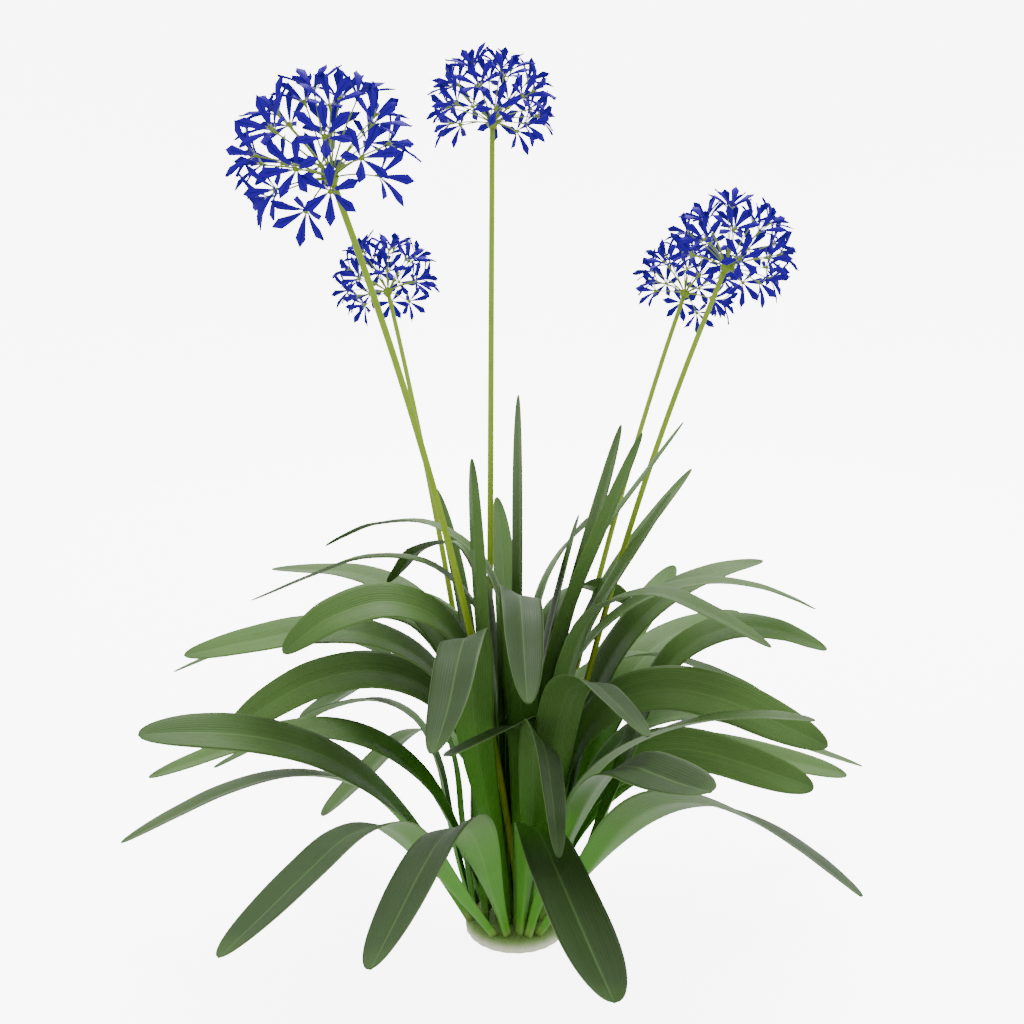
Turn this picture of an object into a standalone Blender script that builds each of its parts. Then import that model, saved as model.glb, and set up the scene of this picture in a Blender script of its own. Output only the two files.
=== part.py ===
"""Agapanthus: a clump of strap leaves and five flower stems on one short crown.

The plant stands on the flat cut underside of its crown, at z = 0, with the
origin at the middle of that cut.  Everything is in metres, with +Z up, +X to
the right of the view and +Y away from it.  An azimuth of 0 degrees points
along +X and one of 90 degrees along +Y.
"""

import math
import random
from typing import NamedTuple

import bmesh
import bpy
from mathutils import Vector
from mathutils.bvhtree import BVHTree

MM = 0.001
GAP = 0.3 * MM
UP = Vector((0, 0, 1))

# Crown: the short rootstock that all leaves and stems grow from
CROWN_RADIUS = 56 * MM
CROWN_HEIGHT = 14 * MM
CROWN_SHOULDER = 5 * MM
CROWN_SHOULDER_INSET = 3 * MM
CROWN_SIDES = 30
CROWN_LOBES = 5
CROWN_LOBE_DEPTH = 0.04
FOOT_MARGIN = 6 * MM

# Leaf blade: a shallow V in section, six corners to a ring
BLADE_THICKNESS = 1.4 * MM
BLADE_EDGE = 0.7 * MM
TIP_WIDTH = 6 * MM
FOOT_WIDTH_SHARE = 0.3
WIDEST_FROM = 0.6
TAPER_FROM = 0.72
TAPER_POWER = 2.6
FOLD_AT_FOOT = math.radians(48)
FOLD_AT_TIP = math.radians(9)
UNFOLDED_FROM = 0.5
TWISTED_FROM = 0.6
STATIONS = (0, 0.1, 0.22, 0.34, 0.46, 0.57, 0.68, 0.79, 0.89, 0.96, 1)
STEPS_BETWEEN = 3
RING = 6

# Where a leaf leaves the crown: steep leaves stand inside, low leaves outside
INNER_FOOT = 12 * MM
OUTER_FOOT = 48 * MM
STEEPEST = 88
LOWEST = 53

# How the leaves make room for each other
SPREAD_SEED = 12
SPREAD_ROUNDS = 3000
SPREAD_TRIES = 40
MOST_NUDGE = 3.2
NUDGE_COST = 0.15
MANY_CROSSINGS = 40
SMALL_NUDGES_MORE_OFTEN = 0.7
LEAST_UPWARD = -0.8
VARIATIONS = (0.15, 0.4)
FARTHEST = 1.5
SETTLE_ROUNDS = 60
SETTLE_SHARES = (0, 0.6, 0.85, 1)

# Flower stem
STEM_RADIUS_FOOT = 3.8 * MM
STEM_RADIUS_TOP = 2.7 * MM
STEM_SIDES = 6
STEM_RINGS = 10
STEM_BEND_HEIGHT = 0.55

# Flower head: a knob, with florets on thin stalks that end on a flattened ball
KNOB_PROFILE = ((2.7, -5), (6, -1), (5, 3))
KNOB_TOP = 5 * MM
KNOB_SIDES = 8
BALL_RISE = 0.3
BALL_FLATTENING = 0.9
LOWEST_FLORET = -0.48
GOLDEN_ANGLE = math.pi * (3 - math.sqrt(5))
STALK_RADIUS = 1.1 * MM
STALK_SIDES = 3
STALK_SPREAD = 0.07
TEPALS = 6
TEPAL_LENGTH = 26 * MM
TEPAL_HALF_WIDTH = 3.2 * MM
TEPAL_WIDEST = 0.74
THROAT_RADIUS = 2.6 * MM
THROAT_HEIGHT = 6 * MM
THROAT_FLOOR = 4 * MM
FLARE = math.radians(50)
FLORET_REACH = 24 * MM

LEAF_GREEN = (0.105, 0.255, 0.062)
STEM_GREEN = (0.29, 0.41, 0.06)
CROWN_BUFF = (0.36, 0.37, 0.17)
FLOWER_BLUE = (0.012, 0.014, 0.42)
LEAF_ROUGHNESS = 0.45
STEM_ROUGHNESS = 0.5
CROWN_ROUGHNESS = 0.8
FLOWER_ROUGHNESS = 0.5
SHARP_FROM = math.radians(40)


class Leaf(NamedTuple):
    """One leaf: lengths in mm, angles in degrees, bend and span in percent of the length."""

    name: str
    azimuth: float
    length: float
    rise: float
    tip_pitch: float
    bend: float
    span: float
    twist: float
    width: float


class Nudge(NamedTuple):
    """A small change to a leaf: a swing in degrees, the others in mm."""

    swing: float = 0
    foot_x: float = 0
    foot_y: float = 0
    sideways: float = 0
    upward: float = 0


class Stem(NamedTuple):
    """One flower stem: foot and head in mm, the share of the lean at its bend, and its head."""

    name: str
    foot: tuple
    head: tuple
    bend: float
    head_radius: float
    florets: int


NUDGE_LIMITS = Nudge(12, 26, 26, 25, 25)

LEAVES = (
    Leaf("leaf_front_1", 279, 525, 70, 4, 34, 20, -5, 52),
    Leaf("leaf_front_2", 256, 510, 57, -8, 56, 55, 25, 52),
    Leaf("leaf_front_3", 302, 550, 54, -10, 64, 70, -30, 52),
    Leaf("leaf_front_4", 289, 550, 65, 18, 50, 55, 15, 52),
    Leaf("leaf_left_1", 239, 500, 51, -12, 60, 35, 15, 52),
    Leaf("leaf_left_2", 212, 490, 60, 6, 64, 90, -25, 52),
    Leaf("leaf_right_1", 342, 510, 80, -20, 58, 60, 40, 52),
    Leaf("leaf_right_2", 15, 455, 78, -24, 42, 70, 45, 52),
    Leaf("leaf_left_3", 212, 490, 62, -18, 56, 70, 15, 52),
    Leaf("leaf_left_4", 196, 520, 83, -36, 62, 75, -30, 50),
    Leaf("leaf_left_5", 200, 545, 84, -40, 74, 60, -30, 50),
    Leaf("leaf_right_3", 338, 470, 77, 4, 56, 80, -10, 52),
    Leaf("leaf_right_4", 344, 565, 80, -24, 72, 35, -5, 48),
    Leaf("leaf_front_5", 258, 585, 78, -18, 66, 35, 20, 46),
    Leaf("leaf_front_6", 279, 435, 76, -58, 70, 50, -50, 44),
    Leaf("leaf_front_7", 272, 590, 87, -24, 68, 35, -20, 42),
    Leaf("leaf_front_8", 265, 485, 88, 16, 48, 15, 20, 44),
    Leaf("leaf_front_9", 295, 475, 75, -12, 72, 35, -20, 44),
    Leaf("leaf_left_6", 206, 560, 81, -6, 60, 65, -15, 52),
    Leaf("leaf_left_7", 152, 495, 86, -34, 54, 60, 20, 48),
    Leaf("leaf_left_8", 140, 500, 77, -20, 66, 40, -25, 52),
    Leaf("leaf_left_9", 176, 505, 70, -22, 48, 65, -5, 48),
    Leaf("leaf_left_10", 168, 490, 72, -30, 52, 45, 20, 44),
    Leaf("leaf_back_1", 142, 480, 84, -48, 42, 60, 15, 42),
    Leaf("leaf_left_11", 182, 580, 81, -24, 60, 70, 10, 42),
    Leaf("leaf_back_2", 148, 585, 82, -8, 60, 55, 0, 52),
    Leaf("leaf_left_12", 175, 620, 87, -24, 66, 45, 10, 36),
    Leaf("leaf_left_13", 164, 600, 90, -30, 74, 50, 10, 34),
    Leaf("leaf_left_14", 151, 530, 85, -48, 80, 25, 15, 36),
    Leaf("leaf_upright_1", 145, 475, 82, 64, 64, 45, 25, 32),
    Leaf("leaf_upright_2", 190, 515, 85, 88, 52, 45, 10, 32),
    Leaf("leaf_upright_3", 104, 495, 89, 40, 60, 35, 45, 40),
    Leaf("leaf_upright_4", 24, 575, 92, 90, 48, 45, -5, 32),
    Leaf("leaf_upright_5", 50, 450, 89, 68, 56, 45, -35, 32),
    Leaf("leaf_back_3", 56, 550, 87, 8, 68, 45, -50, 44),
    Leaf("leaf_upright_6", 7, 550, 84, 76, 52, 45, 5, 32),
    Leaf("leaf_upright_7", 338, 565, 86, 68, 54, 45, -10, 32),
    Leaf("leaf_upright_8", 355, 585, 86, 56, 62, 45, 0, 34),
    Leaf("leaf_upright_9", 47, 545, 81, 40, 58, 65, -20, 38),
    Leaf("leaf_upright_10", 20, 500, 83, 56, 60, 50, -5, 36),
    Leaf("leaf_back_4", 40, 485, 82, -32, 74, 35, -25, 40),
    Leaf("leaf_right_5", 6, 600, 86, -28, 66, 75, -5, 40),
    Leaf("leaf_back_5", 30, 515, 76, 4, 68, 65, 0, 52),
    Leaf("leaf_back_6", 56, 490, 67, 26, 36, 40, -10, 52),
    Leaf("leaf_right_6", 355, 510, 69, -24, 74, 45, 15, 48),
    Leaf("leaf_back_7", 46, 500, 60, -2, 58, 50, 5, 52),
    Leaf("leaf_back_8", 35, 540, 81, -30, 54, 55, -15, 46),
    Leaf("leaf_right_7", 28, 520, 64, -22, 36, 70, 20, 50),
    Leaf("leaf_right_8", 8, 520, 72, -22, 46, 50, -5, 46),
)

STEMS = (
    Stem("1", (6, -6), (-145, -225, 791), 0.30, 71, 26),
    Stem("2", (-30, 14), (-25, 130, 856), 0.45, 66, 24),
    Stem("3", (-22, 30), (-161, 360, 669), 0.35, 64, 24),
    Stem("4", (24, 6), (220, 100, 709), 0.30, 67, 24),
    Stem("5", (14, 30), (208, 320, 669), 0.35, 65, 24),
)


def clear_scene():
    for item in list(bpy.data.objects):
        bpy.data.objects.remove(item, do_unlink=True)


def make_material(name, colour, roughness):
    material = bpy.data.materials.new(name)
    material.use_nodes = True
    shader = material.node_tree.nodes["Principled BSDF"]
    shader.inputs["Base Color"].default_value = (*colour, 1)
    shader.inputs["Roughness"].default_value = roughness
    shader.inputs["Metallic"].default_value = 0
    return material


def make_object(name, vertices, faces, material):
    """A closed mesh with its faces pointing out, as one object."""
    mesh = bpy.data.meshes.new(name)
    mesh.from_pydata(vertices, [], faces)
    shape = bmesh.new()
    shape.from_mesh(mesh)
    bmesh.ops.recalc_face_normals(shape, faces=shape.faces)
    shape.to_mesh(mesh)
    shape.free()
    mesh.materials.append(material)
    mesh.shade_smooth()
    mesh.set_sharp_from_angle(angle=SHARP_FROM)
    thing = bpy.data.objects.new(name, mesh)
    bpy.context.scene.collection.objects.link(thing)
    return thing


def ease(t):
    t = min(max(t, 0), 1)
    return t * t * (3 - 2 * t)


def mix(low, high, share):
    return low + (high - low) * share


def blade_half_width(share, full):
    """Half of a blade's width at a share of its length from foot to tip."""
    width = mix(FOOT_WIDTH_SHARE, 1, ease(share / WIDEST_FROM))
    if share > TAPER_FROM:
        width *= math.sqrt(1 - ((share - TAPER_FROM) / (1 - TAPER_FROM)) ** TAPER_POWER)
    return max(width * full * MM, TIP_WIDTH) / 2


def blade_pitch(leaf, share):
    """How steeply the blade climbs at a share of its length, in radians."""
    start = (leaf.bend - leaf.span / 2) / 100
    reached = ease((share - start) / (leaf.span / 100))
    return math.radians(mix(leaf.rise, leaf.tip_pitch, reached))


def blade_rings(leaf, nudge):
    """Share of the length, place, side and face directions of each ring of a leaf."""
    turn = math.radians(leaf.azimuth + nudge.swing)
    outward = Vector((math.cos(turn), math.sin(turn), 0))
    across = UP.cross(outward)
    lowness = min(max((STEEPEST - leaf.rise) / (STEEPEST - LOWEST), 0), 1)
    place = outward * mix(INNER_FOOT, OUTER_FOOT, lowness) + UP * (CROWN_HEIGHT + GAP)
    step_aside = Vector((nudge.foot_x, nudge.foot_y, 0)) * MM
    bow = (across * nudge.sideways + UP * nudge.upward) * MM
    rings = []
    previous = 0
    for share in STATIONS:
        stride = (share - previous) / STEPS_BETWEEN
        for step in range(STEPS_BETWEEN):
            pitch = blade_pitch(leaf, previous + stride * (step + 0.5))
            place = place + (outward * math.cos(pitch) + UP * math.sin(pitch)) * stride * leaf.length * MM
        pitch = blade_pitch(leaf, share) if share else math.pi / 2
        along = outward * math.cos(pitch) + UP * math.sin(pitch)
        roll = math.radians(leaf.twist) * ease(share / TWISTED_FROM)
        side = across * math.cos(roll) + along.cross(across) * math.sin(roll)
        offset = step_aside * (1 - ease(share / TAPER_FROM)) + bow * math.sin(math.pi * share) ** 2
        rings.append((share, place + offset, side, along.cross(side)))
        previous = share
    return rings


def blade_solid(leaf, nudge, grow=0.0):
    """Vertices and triangles of one leaf, both faces split along the same diagonals."""
    vertices = []
    for share, place, side, face in blade_rings(leaf, nudge):
        half = blade_half_width(share, leaf.width) + grow
        fold = mix(FOLD_AT_FOOT, FOLD_AT_TIP, ease(share / UNFOLDED_FROM))
        reach = half * math.cos(fold)
        lift = half * math.sin(fold) / 2
        edge = BLADE_EDGE / 2 + grow
        middle = BLADE_THICKNESS / 2 + grow
        section = ((-reach, lift + edge), (0, middle - lift), (reach, lift + edge),
                   (reach, lift - edge), (0, -middle - lift), (-reach, lift - edge))
        vertices += [place + side * across + face * height for across, height in section]
    last = len(vertices) - RING
    triangles = []
    for low in range(0, last, RING):
        for corner in range(RING):
            a, b = low + corner, low + (corner + 1) % RING
            if corner in (1, 4):
                triangles += [(a, b, a + RING), (b, b + RING, a + RING)]
            else:
                triangles += [(a, b, b + RING), (a, b + RING, a + RING)]
    for start in (0, last):
        for cap in ((0, 1, 4), (0, 4, 5), (1, 2, 3), (1, 3, 4)):
            triangles.append(tuple(start + corner for corner in cap))
    return vertices, triangles


def stem_path(stem, share):
    """Place and direction on a flower stem: an arc that leans out more and more."""
    foot = Vector((*stem.foot, 0)) * MM + UP * (CROWN_HEIGHT + GAP)
    head = Vector(stem.head) * MM
    bend = foot.lerp(head, stem.bend)
    bend.z = STEM_BEND_HEIGHT * head.z
    place = foot.lerp(bend, share).lerp(bend.lerp(head, share), share)
    return place, (bend.lerp(head, share) - foot.lerp(bend, share)).normalized()


def tube(path, radii, sides):
    """Vertices and faces of a tube with flat ends, along places and directions."""
    vertices = []
    for (place, along), radius in zip(path, radii):
        side = along.orthogonal().normalized()
        if side.dot(Vector((1, 0, 0))) < 0:
            side.negate()
        other = along.cross(side)
        for corner in range(sides):
            angle = math.tau * corner / sides
            vertices.append(place + (side * math.cos(angle) + other * math.sin(angle)) * radius)
    faces = [(low + corner, low + (corner + 1) % sides,
              low + sides + (corner + 1) % sides, low + sides + corner)
             for low in range(0, len(vertices) - sides, sides) for corner in range(sides)]
    faces.append(tuple(range(sides)))
    faces.append(tuple(range(len(vertices) - sides, len(vertices))))
    return vertices, faces


def stem_solid(stem, grow=0.0):
    """The stem from the crown to just under the knob of its head."""
    shares = [ring / (STEM_RINGS - 1) for ring in range(STEM_RINGS)]
    path = [stem_path(stem, share) for share in shares]
    path[0] = (path[0][0], UP)
    head, along = path[-1]
    path[-1] = (head + along * (KNOB_PROFILE[0][1] * MM - GAP), along)
    radii = [mix(STEM_RADIUS_FOOT, STEM_RADIUS_TOP, share) + grow for share in shares]
    return tube(path, radii, STEM_SIDES)


def draw_nudge(rng):
    """A nudge in any direction, more often small than large."""
    amount = rng.random() ** SMALL_NUDGES_MORE_OFTEN
    angle = rng.uniform(0, math.tau)
    step = 2 * NUDGE_LIMITS.foot_x * math.sqrt(rng.random()) * amount
    return Nudge(rng.uniform(-1, 1) * NUDGE_LIMITS.swing * amount,
                 step * math.cos(angle), step * math.sin(angle),
                 rng.uniform(-1, 1) * NUDGE_LIMITS.sideways * amount,
                 rng.uniform(LEAST_UPWARD, 1) * NUDGE_LIMITS.upward * amount)


def vary_nudge(rng, nudge):
    """A nudge close to one that a leaf has already."""
    amount = rng.choice(VARIATIONS)
    varied = (value + rng.uniform(-1, 1) * limit * amount for value, limit in zip(nudge, NUDGE_LIMITS))
    return Nudge(*(min(max(value, -FARTHEST * limit), FARTHEST * limit)
                   for value, limit in zip(varied, NUDGE_LIMITS)))


def shrink_nudge(rng, nudge):
    """A nudge that keeps a random share of each value of another."""
    return Nudge(*(value * rng.choice(SETTLE_SHARES) for value in nudge))


def nudge_size(nudge):
    return sum(abs(value) / limit for value, limit in zip(nudge, NUDGE_LIMITS))


def drift(leaf, nudge):
    """How far a nudge moves a leaf's middle and foot together, in mm."""
    swung = math.radians(abs(nudge.swing)) * leaf.length / 2
    return swung + (math.hypot(nudge.foot_x, nudge.foot_y) + math.hypot(nudge.sideways, nudge.upward)) / 2


def blade_tree(leaf, nudge):
    """The grown blade for crossing tests, or None where its foot or tip can't be."""
    vertices, triangles = blade_solid(leaf, nudge, grow=GAP)
    foot = vertices[0].lerp(vertices[2], 0.5)
    if foot.xy.length > CROWN_RADIUS - FOOT_MARGIN or min(v.z for v in vertices[RING:]) < CROWN_HEIGHT:
        return None
    return BVHTree.FromPolygons(vertices, triangles)


def crossings(tree, name, trees, most=math.inf):
    """Names of the trees that one tree crosses, and what the crossings cost."""
    hits = set()
    cost = 0
    for other, other_tree in trees.items():
        overlap = 0 if other == name else len(tree.overlap(other_tree))
        if overlap:
            hits.add(other)
            cost += 1 + min(overlap, MANY_CROSSINGS) / MANY_CROSSINGS
            if cost > most:
                break
    return hits, cost


def spread_leaves():
    """Nudge leaves one at a time until none crosses another leaf or a stem."""
    rng = random.Random(SPREAD_SEED)
    nudges = {leaf: Nudge() for leaf in LEAVES}
    trees = {leaf.name: blade_tree(leaf, nudges[leaf]) for leaf in LEAVES}
    for stem in STEMS:
        trees["stem " + stem.name] = BVHTree.FromPolygons(*stem_solid(stem, grow=GAP))
    crossed = {name: crossings(tree, name, trees)[0] for name, tree in trees.items()}
    for _ in range(SPREAD_ROUNDS):
        troubled = [leaf for leaf in LEAVES if crossed[leaf.name]]
        if not troubled:
            break
        leaf = rng.choice(troubled)
        best = (math.inf,)
        for attempt in range(SPREAD_TRIES):
            nudge = vary_nudge(rng, nudges[leaf]) if attempt % 2 else draw_nudge(rng)
            tree = blade_tree(leaf, nudge) if nudge_size(nudge) < MOST_NUDGE else None
            if tree:
                hits, cost = crossings(tree, leaf.name, trees, best[0])
                cost += NUDGE_COST * nudge_size(nudge)
                if cost < best[0]:
                    best = (cost, nudge, tree, hits)
        if len(best) > 1:
            _, nudges[leaf], trees[leaf.name], hits = best
            for name, others in crossed.items():
                others.discard(leaf.name)
                if name in hits:
                    others.add(leaf.name)
            crossed[leaf.name] = set(hits)
    settle_leaves(rng, nudges, trees)
    return nudges


def settle_leaves(rng, nudges, trees):
    """Bring each leaf back toward its own place as far as its neighbours allow."""
    for _ in range(SETTLE_ROUNDS):
        for leaf in LEAVES:
            for change in (shrink_nudge, vary_nudge, shrink_nudge, vary_nudge, shrink_nudge, vary_nudge):
                nudge = change(rng, nudges[leaf])
                if drift(leaf, nudge) < drift(leaf, nudges[leaf]):
                    tree = blade_tree(leaf, nudge)
                    if tree and not crossings(tree, leaf.name, trees, 0)[0]:
                        nudges[leaf] = nudge
                        trees[leaf.name] = tree


def grow_leaves():
    material = make_material("leaf", LEAF_GREEN, LEAF_ROUGHNESS)
    for leaf, nudge in spread_leaves().items():
        make_object(leaf.name, *blade_solid(leaf, nudge), material)


def grow_stems():
    material = make_material("stem", STEM_GREEN, STEM_ROUGHNESS)
    for stem in STEMS:
        make_object("scape_" + stem.name, *stem_solid(stem), material)


def grow_crown():
    """A low lobed disc with a flat cut underside and a rounded shoulder."""
    levels = ((CROWN_RADIUS, 0), (CROWN_RADIUS, CROWN_HEIGHT - CROWN_SHOULDER),
              (CROWN_RADIUS - CROWN_SHOULDER_INSET, CROWN_HEIGHT))
    vertices = []
    for radius, height in levels:
        for corner in range(CROWN_SIDES):
            angle = math.tau * corner / CROWN_SIDES
            lobed = radius * (1 + CROWN_LOBE_DEPTH * math.cos(CROWN_LOBES * angle))
            vertices.append(Vector((lobed * math.cos(angle), lobed * math.sin(angle), height)))
    faces = [(low + corner, low + (corner + 1) % CROWN_SIDES,
              low + CROWN_SIDES + (corner + 1) % CROWN_SIDES, low + CROWN_SIDES + corner)
             for low in (0, CROWN_SIDES) for corner in range(CROWN_SIDES)]
    faces += [tuple(range(CROWN_SIDES)), tuple(range(2 * CROWN_SIDES, 3 * CROWN_SIDES))]
    make_object("crown", vertices, faces, make_material("crown", CROWN_BUFF, CROWN_ROUGHNESS))


def head_frame(stem):
    """Knob centre and three directions of a head, the last along its stem."""
    centre, along = stem_path(stem, 1)
    side = along.orthogonal().normalized()
    return centre, side, along.cross(side), along


def knob_solid(stem):
    """The small knob that the stalks grow from, turned round the stem's direction."""
    centre, side, other, along = head_frame(stem)
    vertices = []
    for radius, height in KNOB_PROFILE:
        for corner in range(KNOB_SIDES):
            angle = math.tau * corner / KNOB_SIDES
            vertices.append(centre + ((side * math.cos(angle) + other * math.sin(angle)) * radius
                                      + along * height) * MM)
    faces = [(low + corner, low + (corner + 1) % KNOB_SIDES,
              low + KNOB_SIDES + (corner + 1) % KNOB_SIDES, low + KNOB_SIDES + corner)
             for low in range(0, len(vertices) - KNOB_SIDES, KNOB_SIDES) for corner in range(KNOB_SIDES)]
    faces.append(tuple(range(KNOB_SIDES)))
    top = len(vertices)
    faces += [(top - KNOB_SIDES + corner, top - KNOB_SIDES + (corner + 1) % KNOB_SIDES, top)
              for corner in range(KNOB_SIDES)]
    vertices.append(centre + along * KNOB_TOP)
    return vertices, faces


def floret_places(stem):
    """Foot and direction of each floret, spread evenly over the head's ball."""
    rng = random.Random(stem.name)
    centre, side, other, along = head_frame(stem)
    radius = stem.head_radius * MM
    for number in range(stem.florets):
        height = mix(1, LOWEST_FLORET, (number + 0.5) / stem.florets)
        angle = number * GOLDEN_ANGLE
        ring = math.sqrt(1 - height * height) * radius
        rim = (side * math.cos(angle) + other * math.sin(angle)) * ring
        rim += along * (height * BALL_FLATTENING + BALL_RISE) * radius
        reach = (rim.length - FLORET_REACH) * (1 + rng.uniform(-1, 1) * STALK_SPREAD)
        yield centre + rim.normalized() * reach, rim.normalized(), rng.uniform(0, math.tau)


def floret_solid(centre, foot, along, spin):
    """A star of six narrow tepals and its stalk from the head's centre, all in one skin."""
    side = along.orthogonal().normalized()
    other = along.cross(side)

    def outward(sixths):
        angle = spin + math.tau * sixths / TEPALS
        return side * math.cos(angle) + other * math.sin(angle)

    turns = [outward(2 * corner + 0.5) * STALK_RADIUS for corner in range(STALK_SIDES)]
    vertices = [centre + turn for turn in turns] + [foot + turn for turn in turns]
    hub = len(vertices)
    vertices.append(foot + along * THROAT_FLOOR)
    triangles = [tuple(range(STALK_SIDES))]
    for tepal in range(TEPALS):
        out = outward(tepal)
        root = foot + out * THROAT_RADIUS + along * THROAT_HEIGHT
        ray = out * math.sin(FLARE) + along * math.cos(FLARE)
        widest = root + ray * TEPAL_LENGTH * TEPAL_WIDEST
        half_width = along.cross(out) * TEPAL_HALF_WIDTH
        vertices += [foot + outward(tepal - 0.5) * THROAT_RADIUS + along * THROAT_HEIGHT,
                     widest - half_width, root + ray * TEPAL_LENGTH, widest + half_width]
        here = hub + 1 + 4 * tepal
        dale, left, tip, right = range(here, here + 4)
        after = hub + 1 + 4 * ((tepal + 1) % TEPALS)
        corner = STALK_SIDES + tepal // 2
        for inside in (hub, corner):
            triangles += [(inside, dale, left), (inside, left, tip),
                          (inside, tip, right), (inside, right, after)]
        if tepal % 2:
            following = STALK_SIDES + (tepal // 2 + 1) % STALK_SIDES
            triangles += [(corner, after, following),
                          (corner, following, following - STALK_SIDES),
                          (corner, following - STALK_SIDES, corner - STALK_SIDES)]
    return vertices, triangles


def grow_heads():
    """Each head is one solid: its knob and its florets with their stalks, in one union."""
    material = make_material("flower", FLOWER_BLUE, FLOWER_ROUGHNESS)
    for stem in STEMS:
        head = make_object("umbel_" + stem.name, *knob_solid(stem), material)
        repeats = bpy.data.collections.new("florets_" + stem.name)
        bpy.context.scene.collection.children.link(repeats)
        centre = head_frame(stem)[0]
        for foot, along, spin in floret_places(stem):
            floret = make_object("floret", *floret_solid(centre, foot, along, spin), material)
            bpy.context.scene.collection.objects.unlink(floret)
            repeats.objects.link(floret)
        join = head.modifiers.new("join", "BOOLEAN")
        join.operation = "UNION"
        join.operand_type = "COLLECTION"
        join.collection = repeats
        join.solver = "MANIFOLD"
        with bpy.context.temp_override(object=head, active_object=head):
            bpy.ops.object.modifier_apply(modifier=join.name)
        for piece in list(repeats.objects):
            bpy.data.objects.remove(piece, do_unlink=True)
        bpy.data.collections.remove(repeats)


def main():
    clear_scene()
    grow_crown()
    grow_stems()
    grow_heads()
    grow_leaves()


if __name__ == "__main__":
    main()
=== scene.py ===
"""Looks for the agapanthus plant: strap leaves, bare stems, starry heads and the crown.

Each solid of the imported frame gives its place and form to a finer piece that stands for
it.  Lengths are in metres, with +Z up, +X to the right of the view and +Y away from it.
"""

import logging
import math
import random
from bisect import bisect_right
from dataclasses import dataclass, field
from enum import Enum

import bmesh
import bpy
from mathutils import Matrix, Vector


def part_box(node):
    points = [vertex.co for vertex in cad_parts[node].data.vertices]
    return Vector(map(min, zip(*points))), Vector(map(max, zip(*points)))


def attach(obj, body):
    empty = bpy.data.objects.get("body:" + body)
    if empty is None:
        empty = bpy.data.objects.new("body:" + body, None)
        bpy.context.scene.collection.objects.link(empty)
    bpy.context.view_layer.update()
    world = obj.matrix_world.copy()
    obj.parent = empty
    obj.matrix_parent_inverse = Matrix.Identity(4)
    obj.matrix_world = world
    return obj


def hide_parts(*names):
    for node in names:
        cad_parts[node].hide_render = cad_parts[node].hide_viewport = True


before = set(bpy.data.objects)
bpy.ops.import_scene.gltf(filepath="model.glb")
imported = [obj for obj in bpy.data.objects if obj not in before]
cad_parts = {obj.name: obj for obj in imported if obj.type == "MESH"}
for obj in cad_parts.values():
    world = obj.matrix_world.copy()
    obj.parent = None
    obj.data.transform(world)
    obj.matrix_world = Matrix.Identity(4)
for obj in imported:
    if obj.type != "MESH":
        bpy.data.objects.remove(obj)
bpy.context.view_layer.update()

logging.basicConfig(level=logging.INFO, format="%(message)s")
LOG = logging.getLogger("agapanthus")

MM = 0.001
UP = Vector((0, 0, 1))
SAME_POINT = 0.01 * MM
TONE_SEED = 7

# Places of the Mix node's two colours and of its result among its sockets.
MIX_LOW = 6
MIX_HIGH = 7
MIX_RESULT = 2

Colour = tuple[float, float, float]
Stop = tuple[float, Colour]
Span = tuple[float, float]
Pair = tuple[float, float]
Scales = tuple[float, float, float]


class Slot(Enum):
    """The record's material slots."""

    LEAF = "leaf"
    STEM = "stem"
    FLOWER = "flower"
    CROWN = "crown"


class BladeSide(Enum):
    """The two sides of a leaf blade; the value is the side's place in the leaf's material list."""

    UPPER = 0
    UNDER = 1


def ease(share: float) -> float:
    """A smooth step from 0 to 1."""
    share = min(max(share, 0.0), 1.0)
    return share * share * (3 - 2 * share)


def mix(low: float, high: float, share: float) -> float:
    """The value a share of the way from low to high."""
    return low + (high - low) * share


@dataclass
class Course:
    """A smooth line through points that stand at rising shares of its length.

    Args:
        shares: Where each point stands, from 0 to 1.
        points: The points, or directions, that the line passes through.
    """

    shares: list[float]
    points: list[Vector]

    def slope(self, index: int) -> Vector:
        """The line's rate of change at one of its points.

        Args:
            index: The point's place in the list.

        Returns:
            The change for each unit of share.
        """
        before = max(index - 1, 0)
        after = min(index + 1, len(self.points) - 1)
        return (self.points[after] - self.points[before]) / (self.shares[after] - self.shares[before])

    def at(self, share: float) -> Vector:
        """Place on the line.

        Args:
            share: Share of the length; outside 0 to 1 the line runs on straight.

        Returns:
            The place there.
        """
        if share < self.shares[0]:
            return self.points[0] + self.slope(0) * (share - self.shares[0])
        index = min(bisect_right(self.shares, share) - 1, len(self.points) - 2)
        stride = self.shares[index + 1] - self.shares[index]
        t = (share - self.shares[index]) / stride
        return (self.points[index] * (2 * t**3 - 3 * t**2 + 1)
                + self.slope(index) * stride * (t**3 - 2 * t**2 + t)
                + self.points[index + 1] * (3 * t**2 - 2 * t**3)
                + self.slope(index + 1) * stride * (t**3 - t**2))


def read_rings(node: str, corners: int) -> list[list[Vector]]:
    """The rings of corners that a solid of the frame is lofted through, from its foot up.

    Args:
        node: Name of a leaf or stem.
        corners: How many corners a ring has.

    Returns:
        One list of places for each ring.
    """
    shape = bmesh.new()
    shape.from_mesh(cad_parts[node].data)
    bmesh.ops.remove_doubles(shape, verts=shape.verts, dist=SAME_POINT)
    ring = sorted(shape.verts, key=lambda vert: vert.co.z)[:corners]
    seen = set(ring)
    rings = []
    while ring:
        rings.append([vert.co.copy() for vert in ring])
        reached = {edge.other_vert(vert) for vert in ring for edge in vert.link_edges}
        ring = sorted(reached - seen, key=lambda vert: vert.index)
        seen.update(ring)
    shape.free()
    return rings


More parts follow.
